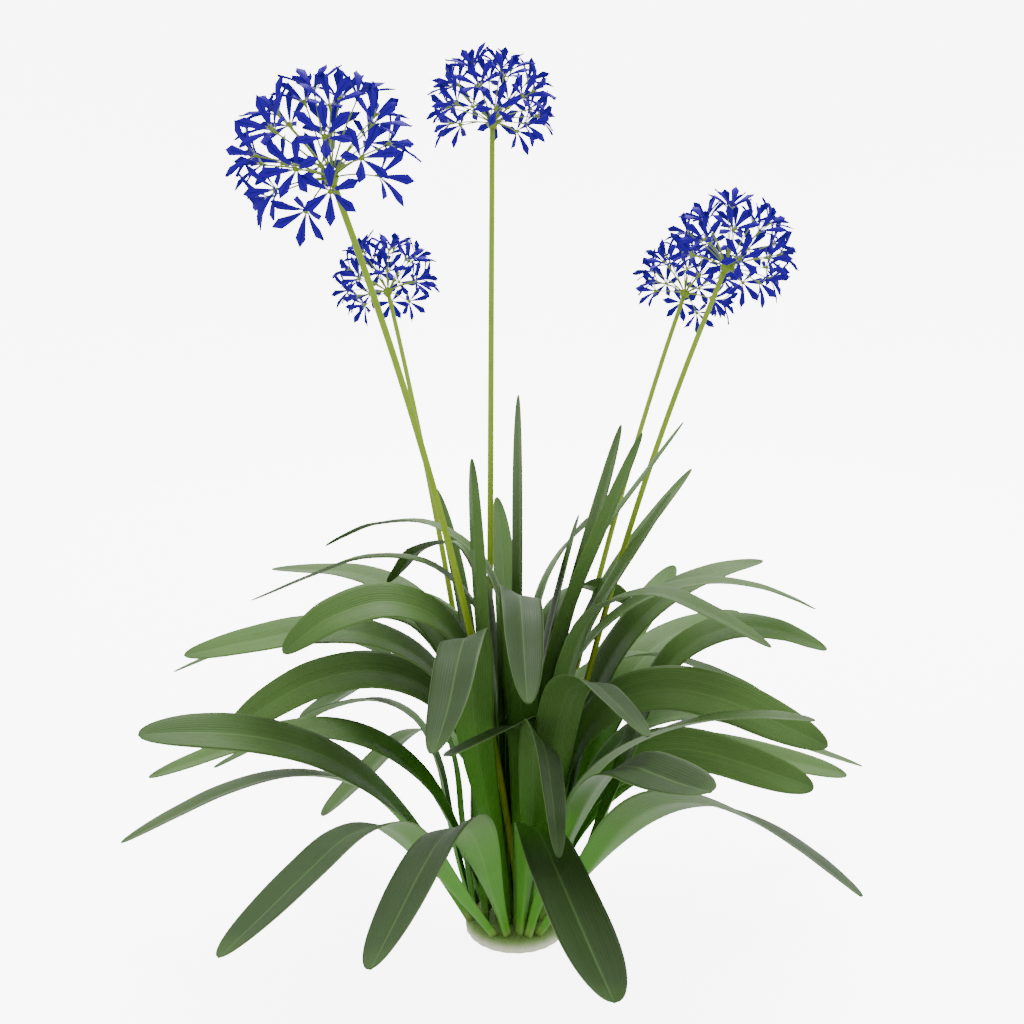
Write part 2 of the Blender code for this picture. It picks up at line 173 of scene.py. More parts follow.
def finish_piece(shape: bmesh.types.BMesh, name: str, node: str,
                 material: bpy.types.Material) -> bpy.types.Object:
    """Make one piece of a finished bmesh and let it stand for a node.

    Args:
        shape: The piece's mesh, in place; it is freed here.
        name: The new piece's name.
        node: The CAD node that it stands for.
        material: Its material.

    Returns:
        The new object.
    """
    mesh = bpy.data.meshes.new(name)
    shape.to_mesh(mesh)
    shape.free()
    mesh.shade_smooth()
    mesh.materials.append(material)
    piece = bpy.data.objects.new(name, mesh)
    bpy.context.scene.collection.objects.link(piece)
    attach(piece, "root")
    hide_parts(node)
    LOG.info("%s: %d faces, for %s", name, len(mesh.polygons), node)
    return piece


class Graph:
    """The node tree of one material, with a short call for each kind of node it needs."""

    def __init__(self, name: str) -> None:
        """Start a material with its plain shader.

        Args:
            name: The material's name.
        """
        self.material = bpy.data.materials.new(name)
        self.material.use_nodes = True
        self.tree = self.material.node_tree
        self.shader = self.tree.nodes["Principled BSDF"]

    def node(self, kind: str, **settings: object) -> bpy.types.Node:
        """Add a node.

        Args:
            kind: Blender's name for the node type, without ShaderNode.
            settings: The node's own options.

        Returns:
            The node.
        """
        made = self.tree.nodes.new("ShaderNode" + kind)
        for key, value in settings.items():
            setattr(made, key, value)
        return made

    def feed(self, socket: bpy.types.NodeSocket, value: object) -> None:
        """Link a socket to another, or set it to a plain value.

        Args:
            socket: The input socket.
            value: An output socket, a number or a colour.
        """
        if isinstance(value, bpy.types.NodeSocket):
            self.tree.links.new(value, socket)
        elif isinstance(value, tuple) and len(value) == 3 and socket.type == "RGBA":
            socket.default_value = (*value, 1)
        else:
            socket.default_value = value

    def shade(self, name: str, value: object) -> None:
        """Feed one of the shader's sockets."""
        self.feed(self.shader.inputs[name], value)

    def math(self, operation: str, *values: object) -> bpy.types.NodeSocket:
        """A sum, product or other function of up to three numbers.

        Args:
            operation: Blender's name for the function.
            values: Its numbers, as sockets or plain values.

        Returns:
            The result.
        """
        made = self.node("Math", operation=operation)
        for socket, value in zip(made.inputs, values):
            self.feed(socket, value)
        return made.outputs[0]

    def blend(self, share: object, low: object, high: object) -> bpy.types.NodeSocket:
        """A colour between two others.

        Args:
            share: How much of the second colour there is, from 0 to 1.
            low: The first colour.
            high: The second colour.

        Returns:
            The colour.
        """
        made = self.node("Mix", data_type="RGBA", clamp_factor=True)
        self.feed(made.inputs[0], share)
        self.feed(made.inputs[MIX_LOW], low)
        self.feed(made.inputs[MIX_HIGH], high)
        return made.outputs[MIX_RESULT]

    def scale(self, colour: object, amount: object) -> bpy.types.NodeSocket:
        """A colour made lighter or darker by a factor.

        Args:
            colour: The colour.
            amount: The factor.

        Returns:
            The new colour.
        """
        made = self.node("VectorMath", operation="SCALE")
        self.feed(made.inputs[0], colour)
        self.feed(made.inputs["Scale"], amount)
        return made.outputs[0]

    def ramp(self, value: object, stops: tuple[Stop, ...]) -> bpy.types.NodeSocket:
        """Colours at set values, smoothly joined.

        Args:
            value: The number that is looked up.
            stops: Values and their colours, in rising order.

        Returns:
            The colour.
        """
        made = self.node("ValToRGB")
        ramp = made.color_ramp
        for place, _ in stops[1:-1]:
            ramp.elements.new(place)
        for element, (place, colour) in zip(ramp.elements, stops):
            element.position = place
            element.color = (*colour, 1)
        self.feed(made.inputs[0], value)
        return made.outputs[0]

    def window(self, value: object, start: float, end: float) -> bpy.types.NodeSocket:
        """A smooth step of a value from 0 at start to 1 at end.

        Args:
            value: The number that is looked at.
            start: Where the step starts.
            end: Where it ends.

        Returns:
            The step's value.
        """
        made = self.node("MapRange", interpolation_type="SMOOTHSTEP")
        self.feed(made.inputs["Value"], value)
        self.feed(made.inputs["From Min"], start)
        self.feed(made.inputs["From Max"], end)
        return made.outputs["Result"]

    def noise(self, place: object, scale: float, detail: float = 3.0) -> bpy.types.NodeSocket:
        """Soft random values from 0 to 1, around a half.

        Args:
            place: Where the noise is read.
            scale: How fine it is.
            detail: How much finer noise is laid over it.

        Returns:
            The value.
        """
        made = self.node("TexNoise")
        self.feed(made.inputs["Vector"], place)
        self.feed(made.inputs["Scale"], scale)
        self.feed(made.inputs["Detail"], detail)
        return made.outputs["Fac"]

    def object_place(self) -> bpy.types.NodeSocket:
        """The place in the object, which is its place in the frame."""
        return self.node("TexCoord").outputs["Object"]

    def parts(self, vector: bpy.types.NodeSocket) -> list[bpy.types.NodeSocket]:
        """The three numbers of a vector.

        Args:
            vector: The vector.

        Returns:
            Its numbers.
        """
        made = self.node("SeparateXYZ")
        self.feed(made.inputs[0], vector)
        return list(made.outputs)

    def stretch(self, numbers: tuple[bpy.types.NodeSocket, ...],
                scales: Scales) -> bpy.types.NodeSocket:
        """A vector of three numbers, each times its own scale.

        Args:
            numbers: The three numbers.
            scales: Their scales.

        Returns:
            The vector.
        """
        made = self.node("CombineXYZ")
        for socket, number, scale in zip(made.inputs, numbers, scales):
            self.feed(socket, self.math("MULTIPLY", number, scale))
        return made.outputs[0]

    def relief(self, height: object, strength: float, depth: float) -> None:
        """Raise the surface's fine grain.

        Args:
            height: The grain's height, as a share of the depth.
            strength: How strongly it shows.
            depth: How deep it is, in metres.
        """
        made = self.node("Bump")
        self.feed(made.inputs["Strength"], strength)
        self.feed(made.inputs["Distance"], depth)
        self.feed(made.inputs["Height"], height)
        self.shade("Normal", made.outputs[0])


@dataclass(frozen=True)
class LeafFinish:
    """Fleshy strap leaf: bright at the foot, greyer along the blade, finely veined, and darkened on the
    upper side with painted shade where the leaf leans to the front.
    """

    sheath: Colour = (0.130, 0.200, 0.045)
    foot: Colour = (0.040, 0.155, 0.006)
    blade: Colour = (0.056, 0.112, 0.026)
    under: Colour = (0.060, 0.125, 0.027)
    # Painted shade: the darker green of the upper side of leaves that lean to the front.
    painted_shade: Colour = (0.019, 0.040, 0.010)
    tip: Colour = (0.034, 0.074, 0.015)
    rib: Colour = (0.095, 0.175, 0.050)
    rim: Colour = (0.130, 0.220, 0.070)
    sheath_end: float = 0.045
    grey_from: float = 0.24
    grey_to: float = 0.6
    tip_from: float = 0.93
    tip_share: float = 0.6
    rib_share: float = 0.28
    rib_edges: Span = (0.015, 0.075)
    rim_share: float = 0.42
    rim_edges: Span = (0.955, 0.995)
    veins: int = 18
    vein_share: float = 0.07
    vein_height: float = 0.35
    streak_scales: Scales = (34.0, 2.2, 40.0)
    streak_detail: float = 4.0
    streak_share: float = 0.22
    mottle_scale: float = 22.0
    mottle_share: float = 0.14
    tone_share: float = 0.16
    roughness: float = 0.46
    gloss_change: float = 0.18
    specular: float = 0.08
    relief: float = 0.35
    relief_depth: float = 0.5 * MM

    def material(self, surface: BladeSide) -> bpy.types.Material:
        """Build the material of one side, on the blade's own UV map, tone and painted shade.

        Args:
            surface: The side that it covers.

        Returns:
            The material.
        """
        graph = Graph("leaf_" + surface.name.lower())
        across, along, _ = graph.parts(graph.node("UVMap", uv_map="blade").outputs[0])
        tone = graph.node("Attribute", attribute_name="tone").outputs["Fac"]
        body: object = self.under
        if surface is BladeSide.UPPER:
            # Painted shade: the upper side is blended toward the darker green by the leaf's shade value.
            shade = graph.node("Attribute", attribute_name="shade").outputs["Fac"]
            body = graph.blend(shade, self.blade, self.painted_shade)
        side = graph.math("ABSOLUTE", graph.math("MULTIPLY_ADD", across, 2.0, -1.0))
        colour = graph.ramp(along, ((0.0, self.sheath), (self.sheath_end, self.foot),
                                    (1.0, self.foot)))
        colour = graph.blend(graph.window(along, self.grey_from, self.grey_to), colour, body)
        near_tip = graph.math("MULTIPLY", graph.window(along, self.tip_from, 1.0), self.tip_share)
        colour = graph.blend(near_tip, colour, self.tip)
        streak = graph.noise(graph.stretch((across, along, tone), self.streak_scales), 1.0,
                             self.streak_detail)
        vein = graph.math("COSINE", graph.math("MULTIPLY", across, math.tau * self.veins))
        mottle = graph.noise(graph.object_place(), self.mottle_scale)
        plain = 1 - self.streak_share - self.mottle_share - self.tone_share / 2
        amount = graph.math("MULTIPLY_ADD", streak, 2 * self.streak_share, plain)
        for value, share in ((vein, self.vein_share), (mottle, 2 * self.mottle_share),
                             (tone, self.tone_share)):
            amount = graph.math("ADD", amount, graph.math("MULTIPLY", value, share))
        colour = graph.scale(colour, amount)
        rib = graph.math("SUBTRACT", 1.0, graph.window(side, *self.rib_edges))
        colour = graph.blend(graph.math("MULTIPLY", rib, self.rib_share), colour, self.rib)
        rim = graph.window(side, *self.rim_edges)
        colour = graph.blend(graph.math("MULTIPLY", rim, self.rim_share), colour, self.rim)
        graph.shade("Base Color", colour)
        graph.shade("Roughness", graph.math("MULTIPLY_ADD", streak, self.gloss_change,
                                            self.roughness - self.gloss_change / 2))
        graph.shade("Specular IOR Level", self.specular)
        height = graph.math("ADD", graph.math("MULTIPLY", vein, self.vein_height), streak)
        graph.relief(height, self.relief, self.relief_depth)
        return graph.material


@dataclass(frozen=True)
class StalkFinish:
    """Smooth yellow-green stem or stalk with faint lengthwise lines.

    Its colour turns from low to high between the two heights, which are in metres.
    """

    name: str
    low: Colour
    high: Colour
    heights: Span
    line_scales: Scales = (900.0, 900.0, 12.0)
    blotch_scale: float = 35.0
    change: float = 0.35
    roughness: float = 0.42
    specular: float = 0.2
    relief: float = 0.25
    relief_depth: float = 0.3 * MM

    def material(self) -> bpy.types.Material:
        """Build the material, on the place in the frame.

        Returns:
            The material.
        """
        graph = Graph(self.name)
        place = graph.object_place()
        x, y, z = graph.parts(place)
        colour = graph.blend(graph.window(z, *self.heights), self.low, self.high)
        lines = graph.noise(graph.stretch((x, y, z), self.line_scales), 1.0)
        blotch = graph.math("MULTIPLY", graph.noise(place, self.blotch_scale), self.change)
        amount = graph.math("ADD", graph.math("MULTIPLY", lines, self.change), blotch)
        colour = graph.scale(colour, graph.math("ADD", amount, 1 - self.change))
        graph.shade("Base Color", colour)
        graph.shade("Roughness", self.roughness)
        graph.shade("Specular IOR Level", self.specular)
        graph.relief(lines, self.relief, self.relief_depth)
        return graph.material


STEM_FINISH = StalkFinish("stem", low=(0.150, 0.220, 0.006), high=(0.165, 0.265, 0.010),
                          heights=(0.15, 0.55))
STALK_FINISH = StalkFinish("stalk", low=(0.150, 0.235, 0.012), high=(0.150, 0.235, 0.012),
                           heights=(0, 1))


@dataclass(frozen=True)
class TepalFinish:
    """Tepals: a pale claw that turns deep blue, with a darker line down the middle."""

    claw: Colour = (0.34, 0.35, 0.46)
    flush: Colour = (0.034, 0.022, 0.20)
    blade: Colour = (0.0210, 0.0001, 0.250)
    stripe: Colour = (0.0050, 0.0001, 0.075)
    claw_end: float = 0.07
    flush_at: float = 0.13
    blade_from: float = 0.21
    stripe_edges: Span = (0.02, 0.12)
    stripe_start: Span = (0.25, 0.5)
    stripe_share: float = 0.6
    cloud_scale: float = 90.0
    cloud_change: float = 0.5
    line_count: int = 5
    roughness: float = 0.5
    specular: float = 0.02
    relief: float = 0.2
    relief_depth: float = 0.15 * MM

    def material(self) -> bpy.types.Material:
        """Build the material, on the tepal's own UV map.

        Returns:
            The material.
        """
        graph = Graph("tepal")
        across, along, _ = graph.parts(graph.node("UVMap", uv_map="tepal").outputs[0])
        side = graph.math("ABSOLUTE", graph.math("SUBTRACT", across, 0.5))
        colour = graph.ramp(along, ((0.0, self.claw), (self.claw_end, self.claw),
                                    (self.flush_at, self.flush), (self.blade_from, self.blade),
                                    (1.0, self.blade)))
        stripe = graph.math("SUBTRACT", 1.0, graph.window(side, *self.stripe_edges))
        stripe = graph.math("MULTIPLY", stripe, graph.window(along, *self.stripe_start))
        colour = graph.blend(graph.math("MULTIPLY", stripe, self.stripe_share), colour, self.stripe)
        cloud = graph.noise(graph.object_place(), self.cloud_scale)
        amount = graph.math("MULTIPLY_ADD", cloud, self.cloud_change, 1 - self.cloud_change / 2)
        colour = graph.scale(colour, amount)
        lines = graph.math("COSINE", graph.math("MULTIPLY", across, math.tau * self.line_count))
        graph.shade("Base Color", colour)
        graph.shade("Roughness", self.roughness)
        graph.shade("Specular IOR Level", self.specular)
        graph.relief(lines, self.relief, self.relief_depth)
        return graph.material


@dataclass(frozen=True)
class CrownFinish:
    """Blanched, fibrous sheaths at the top of the rootstock."""

    pale: Colour = (0.440, 0.450, 0.320)
    green: Colour = (0.110, 0.200, 0.040)
    scar: Colour = (0.210, 0.190, 0.110)
    green_heights: Span = (3 * MM, 13 * MM)
    fibre_scales: Scales = (420.0, 420.0, 60.0)
    fibre_detail: float = 4.0
    fibre_change: float = 0.5
    scar_edges: Span = (0.52, 0.75)
    scar_share: float = 0.55
    roughness: float = 0.75
    relief: float = 0.5
    relief_depth: float = 0.6 * MM

    def material(self) -> bpy.types.Material:
        """Build the material, on the place in the frame.

        Returns:
            The material.
        """
        graph = Graph("crown")
        place = graph.object_place()
        x, y, z = graph.parts(place)
        fibres = graph.noise(graph.stretch((x, y, z), self.fibre_scales), 1.0, self.fibre_detail)
        colour = graph.blend(graph.window(z, *self.green_heights), self.pale, self.green)
        scars = graph.math("MULTIPLY", graph.window(fibres, *self.scar_edges), self.scar_share)
        colour = graph.blend(scars, colour, self.scar)
        amount = graph.math("MULTIPLY_ADD", fibres, self.fibre_change, 1 - self.fibre_change / 2)
        colour = graph.scale(colour, amount)
        graph.shade("Base Color", colour)
        graph.shade("Roughness", self.roughness)
        graph.relief(fibres, self.relief, self.relief_depth)
        return graph.material


@dataclass(frozen=True)
class FloorFinish:
    """Matte white studio paper, lit evenly from behind as in a light tent."""

    paper: Colour = (0.90, 0.90, 0.90)
    fibre: Colour = (0.84, 0.84, 0.84)
    glow: float = 7.0
    grain_scale: float = 3.0
    fibre_share: float = 0.3
    roughness: float = 0.95
    specular: float = 0.1

    def material(self) -> bpy.types.Material:
        """Build the material, with a faint paper grain.

        Returns:
            The material.
        """
        graph = Graph("studio_paper")
        grain = graph.noise(graph.object_place(), self.grain_scale)
        share = graph.math("MULTIPLY", grain, self.fibre_share)
        graph.shade("Base Color", graph.blend(share, self.paper, self.fibre))
        graph.shade("Roughness", self.roughness)
        graph.shade("Specular IOR Level", self.specular)
        graph.shade("Emission Color", self.paper)
        graph.shade("Emission Strength", self.glow)
        return graph.material


@dataclass
class Blade:
    """One strap leaf, lofted finely through the rings of its solid.

    A leaf that arches toward the front gets painted shade: its upper side is darker than the others'.

    Args:
        node: The CAD node that the leaf stands for.
        tone: How light this leaf is among the others, from 0 to 1.
    """

    node: str
    tone: float
    light_until: float = 0.3
    dark_from: float = 0.8
    arched_from: float = 0.25
    slope_step: float = 0.004
    corners: int = 6
    shares: tuple[float, ...] = (0, 0.1, 0.22, 0.34, 0.46, 0.57, 0.68, 0.79, 0.89, 0.96, 1)
    columns: int = 12
    rows: int = 46
    foot_width_share: float = 0.3
    widest_from: float = 0.6
    taper_from: float = 0.72
    taper_power: float = 2.6
    widest_ring: int = 6
    fold_at_foot: float = math.radians(48)
    fold_at_tip: float = math.radians(9)
    unfolded_from: float = 0.5
    keel_roundness: float = 0.22
    wing_arch: float = 0.035
    tip_crowding: float = 1.5
    tip_width: float = 0.9 * MM
    root_share: float = -0.012
    thickness: float = 1.3 * MM
    rim_thickness_share: float = 0.45
    middle: Course = field(init=False)
    sides: Course = field(init=False)
    full_width: float = field(init=False)
    # How much painted shade the upper side gets, from 0 to 1.
    shade: float = field(init=False)

    def __post_init__(self) -> None:
        """Read the leaf's line, side directions, width and painted shade from its solid."""
        places, sides = [], []
        for ring in read_rings(self.node, self.corners):
            left, right = self.ring_edges(ring)
            if sides and (right - left).dot(sides[-1]) < 0:
                left, right = right, left
            places.append((left + right) / 2)
            sides.append((right - left).normalized())
            if len(places) == 1:
                keel = sum(ring, Vector()) / len(ring) - places[0]
                if UP.cross(sides[0]).dot(keel) > 0:
                    sides[0].negate()
            if len(places) == self.widest_ring + 1:
                self.full_width = (right - left).length / math.cos(self.fold_at_tip)
        self.middle = Course(list(self.shares), places)
        self.sides = Course(list(self.shares), sides)
        span = places[-1] - places[0]
        length = sum((after - before).length for before, after in zip(places, places[1:]))
        # Painted shade: more for a leaf that reaches farther out, and more toward the front.
        forward = -span.y / span.xy.length
        self.shade = (ease((forward - self.light_until) / (self.dark_from - self.light_until))
                      * ease(span.xy.length / length / self.arched_from))

    def ring_edges(self, ring: list[Vector]) -> tuple[Vector, Vector]:
        """The middles of a ring's two outer edges.

        Args:
            ring: The ring's corners.

        Returns:
            The middle of each edge.
        """
        ends = max(((one, other) for one in ring for other in ring),
                   key=lambda pair: (pair[0] - pair[1]).length)
        edges = []
        for end in ends:
            twin = min((corner for corner in ring if corner is not end),
                       key=lambda corner: (corner - end).length)
            edges.append((end + twin) / 2)
        return edges[0], edges[1]

    def half_width(self, share: float) -> float:
        """Half of the blade's width, by the same law as its solid but with a round tip.

        Args:
            share: Share of the length from foot to tip.

        Returns:
            Half of the width there.
        """
        width = mix(self.foot_width_share, 1, ease(share / self.widest_from))
        if share > self.taper_from:
            reached = min((share - self.taper_from) / (1 - self.taper_from), 1)
            width *= math.sqrt(1 - reached**self.taper_power)
        return max(width * self.full_width, self.tip_width) / 2

    def surface(self, across: float, share: float) -> Vector:
        """A point of the blade's middle surface.

        Args:
            across: From -1 at one edge to 1 at the other.
            share: Share of the length from foot to tip.

        Returns:
            The point.
        """
        step = self.slope_step
        along = (self.middle.at(share + step) - self.middle.at(share - step)).normalized()
        if share > 1 - step:
            along = (self.middle.at(1) - self.middle.at(1 - step)).normalized()
        side = self.sides.at(share)
        side = (side - along * side.dot(along)).normalized()
        face = along.cross(side)
        half = self.half_width(max(share, 0))
        fold = mix(self.fold_at_foot, self.fold_at_tip, ease(share / self.unfolded_from))
        soft = self.keel_roundness
        opened = (math.hypot(across, soft) - soft) / (math.hypot(1, soft) - soft)
        depth = half * math.sin(fold)
        arch = 4 * abs(across) * (1 - abs(across)) * half * self.wing_arch
        height = arch - depth * (1 - opened)
        return self.middle.at(share) + side * half * math.cos(fold) * across + face * height

    def build(self, materials: dict[BladeSide, bpy.types.Material]) -> bpy.types.Object:
        """Bend a grid onto the leaf's surface and give it its thickness.

        Args:
            materials: The leaf material of each side.

        Returns:
            The leaf.
        """
        shape = bmesh.new()
        maps = shape.loops.layers.uv.new("blade")
        bmesh.ops.create_grid(shape, x_segments=self.columns, y_segments=self.rows, size=1)
        tone = shape.verts.layers.float.new("tone")
        # The leaf's painted shade, read by the upper side's material.
        shade = shape.verts.layers.float.new("shade")
        weight = shape.verts.layers.deform.verify()
        for vert in shape.verts:
            across = vert.co.x
            share = mix(self.root_share, 1, 1 - ((1 - vert.co.y) / 2) ** self.tip_crowding)
            for loop in vert.link_loops:
                loop[maps].uv = ((across + 1) / 2, max(share, 0))
            vert[tone] = self.tone
            vert[shade] = self.shade
            vert[weight][0] = 1 - ease(abs(across))
            vert.co = self.surface(across, share)
        bmesh.ops.reverse_faces(shape, faces=shape.faces)
        piece = finish_piece(shape, self.node + "_blade", self.node,
                             materials[BladeSide.UPPER])
        piece.data.materials.append(materials[BladeSide.UNDER])
        piece.vertex_groups.new(name="middle")
        wall = piece.modifiers.new("thickness", "SOLIDIFY")
        wall.thickness = self.thickness
        wall.offset = 0
        wall.material_offset = BladeSide.UNDER.value
        wall.vertex_group = "middle"
        wall.thickness_vertex_group = self.rim_thickness_share
        return piece


def sweep(shape: bmesh.types.BMesh, path: list[tuple[Vector, Vector]], radii: list[float],
          sides: int) -> None:
    """Draw a closed tube by extruding a ring along a path.

    Args:
        shape: The bmesh that gets the tube.
        path: Places and directions, from one end to the other.
        radii: The radius at each place.
        sides: How many sides the tube has.
    """
    ring = bmesh.ops.create_circle(shape, cap_ends=True, segments=sides, radius=1)["verts"]
    angles = [math.atan2(vert.co.y, vert.co.x) for vert in ring]
    edges = list({edge for vert in ring for edge in vert.link_edges})
    side = path[0][1].orthogonal().normalized()
    for number, ((place, along), radius) in enumerate(zip(path, radii)):
        if number:
            made = bmesh.ops.extrude_edge_only(shape, edges=edges)["geom"]
            fresh = [item for item in made if isinstance(item, bmesh.types.BMVert)]
            edges = [edge for edge in made if isinstance(edge, bmesh.types.BMEdge)
                     and all(vert in fresh for vert in edge.verts)]
            partner = {edge.other_vert(vert): vert for vert in fresh for edge in vert.link_edges
                       if edge.other_vert(vert) in ring}
            ring = [partner[vert] for vert in ring]
        side = (side - along * side.dot(along)).normalized()
        other = along.cross(side)
        for vert, angle in zip(ring, angles):
            vert.co = place + (side * math.cos(angle) + other * math.sin(angle)) * radius
    bmesh.ops.contextual_create(shape, geom=edges)


@dataclass
class FlowerStem:
    """One bare round stem, swept through the middles of its solid's rings.

    Args:
        number: The number that its node's name ends with.
    """

    number: str
    corners: int = 6
    sides: int = 16
    rings: int = 40
    root: float = 6 * MM
    knob_overlap: float = 4 * MM
    slope_step: float = 0.01

    def build(self, material: bpy.types.Material) -> bpy.types.Object:
        """Sweep the stem.

        Args:
            material: The stem's material.

        Returns:
            The stem.
        """
        node = "scape_" + self.number
        rings = read_rings(node, self.corners)
        places = [sum(ring, Vector()) / len(ring) for ring in rings]
        radii = [(ring[0] - place).length for ring, place in zip(rings, places)]
        places[0] = places[0] - UP * self.root
        places[-1] = places[-1] + (places[-1] - places[-2]).normalized() * self.knob_overlap
        course = Course([index / (len(places) - 1) for index in range(len(places))], places)
        shares = [index / (self.rings - 1) for index in range(self.rings)]
        step = self.slope_step
        path = []
        for share in shares:
            along = course.at(min(share + step, 1)) - course.at(share - step)
            path.append((course.at(share), along.normalized()))
        shape = bmesh.new()
        sweep(shape, path, [mix(radii[0], radii[-1], share) for share in shares], self.sides)
        bmesh.ops.recalc_face_normals(shape, faces=shape.faces)
        return finish_piece(shape, node + "_stem", node, material)


@dataclass(frozen=True)
class HeadPlan:
    """What the solids say about one head.

    Args:
        number: The head's number, which its node's name ends with.
        foot: Where its stem stands on the crown, in mm.
        head: The knob's centre, in mm.
        bend: How far across the stem has gone at its bend, as a share.
        radius: The head's radius, in mm.
        florets: How many florets it has.
    """

    number: str
    foot: tuple[float, float]
    head: tuple[float, float, float]
    bend: float
    radius: float
    florets: int


HEADS = (
    HeadPlan("1", (6, -6), (-145, -225, 791), 0.30, 71, 26),
    HeadPlan("2", (-30, 14), (-25, 130, 856), 0.45, 66, 24),
    HeadPlan("3", (-22, 30), (-161, 360, 669), 0.35, 64, 24),
    HeadPlan("4", (24, 6), (220, 100, 709), 0.30, 67, 24),
    HeadPlan("5", (14, 30), (208, 320, 669), 0.35, 65, 24),
)


@dataclass
class FlowerHead:
    """One round head: a knob, curved stalks, and a starry floret at the end of each.

    The pairs of knob_profile and tube_profile are a height and a radius, in mm.

    Args:
        plan: Where the head is and how many florets it has.
    """

    plan: HeadPlan
    crown_top: float = 14.3 * MM
    bend_height: float = 0.55
    lowest: float = -0.48
    rise: float = 0.3
    flattening: float = 0.9
    golden_angle: float = math.pi * (3 - math.sqrt(5))
    stalk_spread: float = 0.07
    floret_reach: float = 24 * MM
    stalk_radius: float = 0.8 * MM
    stalk_end_radius: float = 0.6 * MM
    stalk_sag: float = 0.05
    stalk_steps: int = 5
    stalk_sides: int = 6
    knob_profile: tuple[Pair, ...] = ((-6, 2.7), (-3.6, 4.6), (-1, 6.0), (1, 6.2), (3.2, 5.0),
                                      (4.8, 2.6))
    knob_sides: int = 16
    tube_profile: tuple[Pair, ...] = ((1.5, 1.0), (4, 1.4), (6.6, 2.4))
    tepals: int = 6
    tepal_length: float = 26 * MM
    tepal_half_width: float = 4.1 * MM
    claw_half_width: float = 0.55 * MM
    tip_half_width: float = 0.15 * MM
    widest: float = 0.75
    tepal_rows: int = 4
    tepal_thickness: float = 0.5 * MM
    throat_radius: float = 2.3 * MM
    throat_height: float = 6 * MM
    flare: float = math.radians(50)
    curl: float = math.radians(14)
    curl_middle: float = 0.4
    channel_depth: float = 0.35
    turn_change: float = 0.06
    length_changes: Span = (-0.08, 0.05)
    twist_change: float = 0.3
    centre: Vector = field(init=False)
    along: Vector = field(init=False)
    florets: list[tuple[Vector, Vector, float]] = field(init=False)

    def __post_init__(self) -> None:
        """Work out the head's place and its florets', by the solids' own rule."""
        plan = self.plan
        foot = Vector((*plan.foot, 0)) * MM + UP * self.crown_top
        self.centre = Vector(plan.head) * MM
        bend = foot.lerp(self.centre, plan.bend)
        bend.z = self.bend_height * self.centre.z
        self.along = (self.centre - bend).normalized()
        side = self.along.orthogonal().normalized()
        other = self.along.cross(side)
        draw = random.Random(plan.number)
        radius = plan.radius * MM
        self.florets = []
        for number in range(plan.florets):
            height = mix(1, self.lowest, (number + 0.5) / plan.florets)
            angle = number * self.golden_angle
            ring = math.sqrt(1 - height * height) * radius
            rim = (side * math.cos(angle) + other * math.sin(angle)) * ring
            rim += self.along * (height * self.flattening + self.rise) * radius
            reach = (rim.length - self.floret_reach) * (1 + draw.uniform(-1, 1) * self.stalk_spread)
            direction = rim.normalized()
            self.florets.append((self.centre + direction * reach, direction, draw.uniform(0, math.tau)))

    def stalk(self, shape: bmesh.types.BMesh, foot: Vector, direction: Vector) -> None:
        """One stalk, a little bowed, that opens into the tube its tepals grow from.

        Args:
            shape: The bmesh that gets the stalk.
            foot: Where the floret sits.
            direction: Where the floret looks.
        """
        span = foot - self.centre
        bow = (self.along * span.length - span * self.along.dot(direction)) * self.stalk_sag
        path = []
        for step in range(self.stalk_steps):
            share = step / (self.stalk_steps - 1)
            path.append((self.centre + span * share + bow * math.sin(math.pi * share),
                         (span + bow * math.pi * math.cos(math.pi * share)).normalized()))
        radii = [mix(self.stalk_radius, self.stalk_end_radius, step / (self.stalk_steps - 1))
                 for step in range(self.stalk_steps)]
        for height, radius in self.tube_profile:
            path.append((foot + direction * height * MM, direction))
            radii.append(radius * MM)
        sweep(shape, path, radii, self.stalk_sides)

    def build_stalks(self, material: bpy.types.Material) -> bpy.types.Object:
        """The knob with all its stalks.

        Args:
            material: The stalks' material.

        Returns:
            The piece.
        """
        shape = bmesh.new()
        knob = [(self.centre + self.along * height * MM, self.along) for height, _ in self.knob_profile]
        sweep(shape, knob, [radius * MM for _, radius in self.knob_profile], self.knob_sides)
        for foot, direction, _ in self.florets:
            self.stalk(shape, foot, direction)
        bmesh.ops.recalc_face_normals(shape, faces=shape.faces)
        name = "umbel_" + self.plan.number
        return finish_piece(shape, name + "_stalks", name, material)

    def tepal_point(self, across: float, share: float) -> Vector:
        """A point of a tepal's middle surface, as X outward, Y across and Z up the floret.

        Args:
            across: From -1 at one edge to 1 at the other.
            share: Share of the length from foot to tip.

        Returns:
            The point.
        """
        if share < self.widest:
            half = mix(self.claw_half_width, self.tepal_half_width, share / self.widest)
        else:
            left = (1 - share) / (1 - self.widest)
            half = max(self.tepal_half_width * left, self.tip_half_width)
        lean = self.flare + self.curl * (share - self.curl_middle)
        reach = share * self.tepal_length
        channel = self.channel_depth * half * (across * across - 0.5)
        return Vector((self.throat_radius + math.sin(lean) * reach - math.cos(lean) * channel,
                       across * half,
                       self.throat_height + math.cos(lean) * reach + math.sin(lean) * channel))

